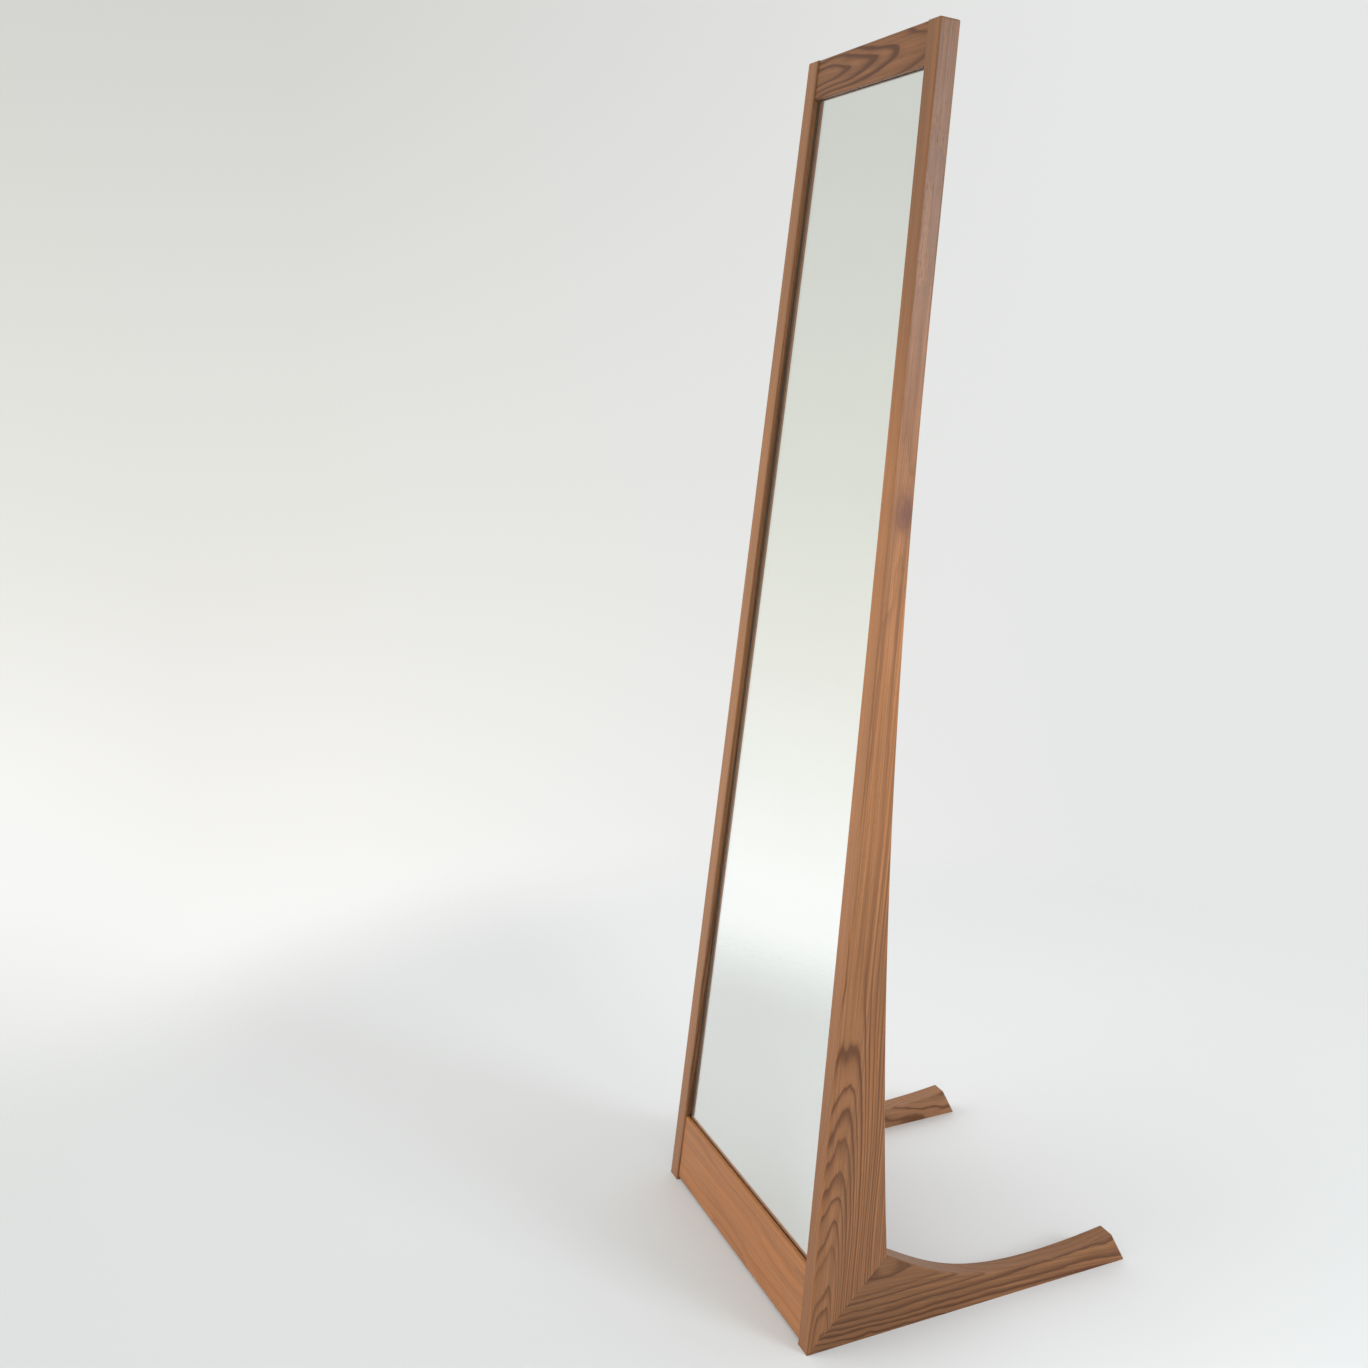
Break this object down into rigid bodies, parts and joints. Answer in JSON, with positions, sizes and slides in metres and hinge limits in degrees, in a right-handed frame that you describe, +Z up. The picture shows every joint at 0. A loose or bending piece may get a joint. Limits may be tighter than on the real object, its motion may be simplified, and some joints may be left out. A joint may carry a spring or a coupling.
{
  "type": "dressing mirror",
  "caption": "Full-length leaning mirror in a solid timber frame that narrows upwards, on two swept side frames whose feet run back along the floor.",
  "frame": {"origin": "on the floor, midway between the feet and midway between toe and heel", "axes": "+X to the right as seen from the front, +Y to the back, +Z up; the glass faces -Y and leans back"},
  "size_m": [0.483, 0.53, 1.6997],
  "materials": {
    "solid_timber": "oiled open-grained hardwood, satin",
    "bead_timber": "oiled hardwood, satin",
    "tenon_timber": "planed beech",
    "silvered_glass": "silvered float glass with polished edges",
    "foam_tape": "closed-cell mirror tape",
    "back_panel": "veneered board, satin",
    "setting_rubber": "hard rubber",
    "screw_brass": "turned brass"
  },
  "bodies": {
    "root": {"back_board": "back_panel", "bonding_tape": "foam_tape", "bottom_bead": "bead_timber", "bottom_bead_screws": "screw_brass", "bottom_rail": "solid_timber", "bottom_rail_tenons": "tenon_timber", "left_bead": "bead_timber", "left_bead_screws": "screw_brass", "left_foot": "solid_timber", "left_mitre_tenons": "tenon_timber", "left_stile": "solid_timber", "mirror_glass": "silvered_glass", "right_bead": "bead_timber", "right_bead_screws": "screw_brass", "right_foot": "solid_timber", "right_mitre_tenons": "tenon_timber", "right_stile": "solid_timber", "setting_blocks": "setting_rubber", "top_bead": "bead_timber", "top_bead_screws": "screw_brass", "top_rail": "solid_timber", "top_rail_tenons": "tenon_timber"}
  },
  "joints": []
}
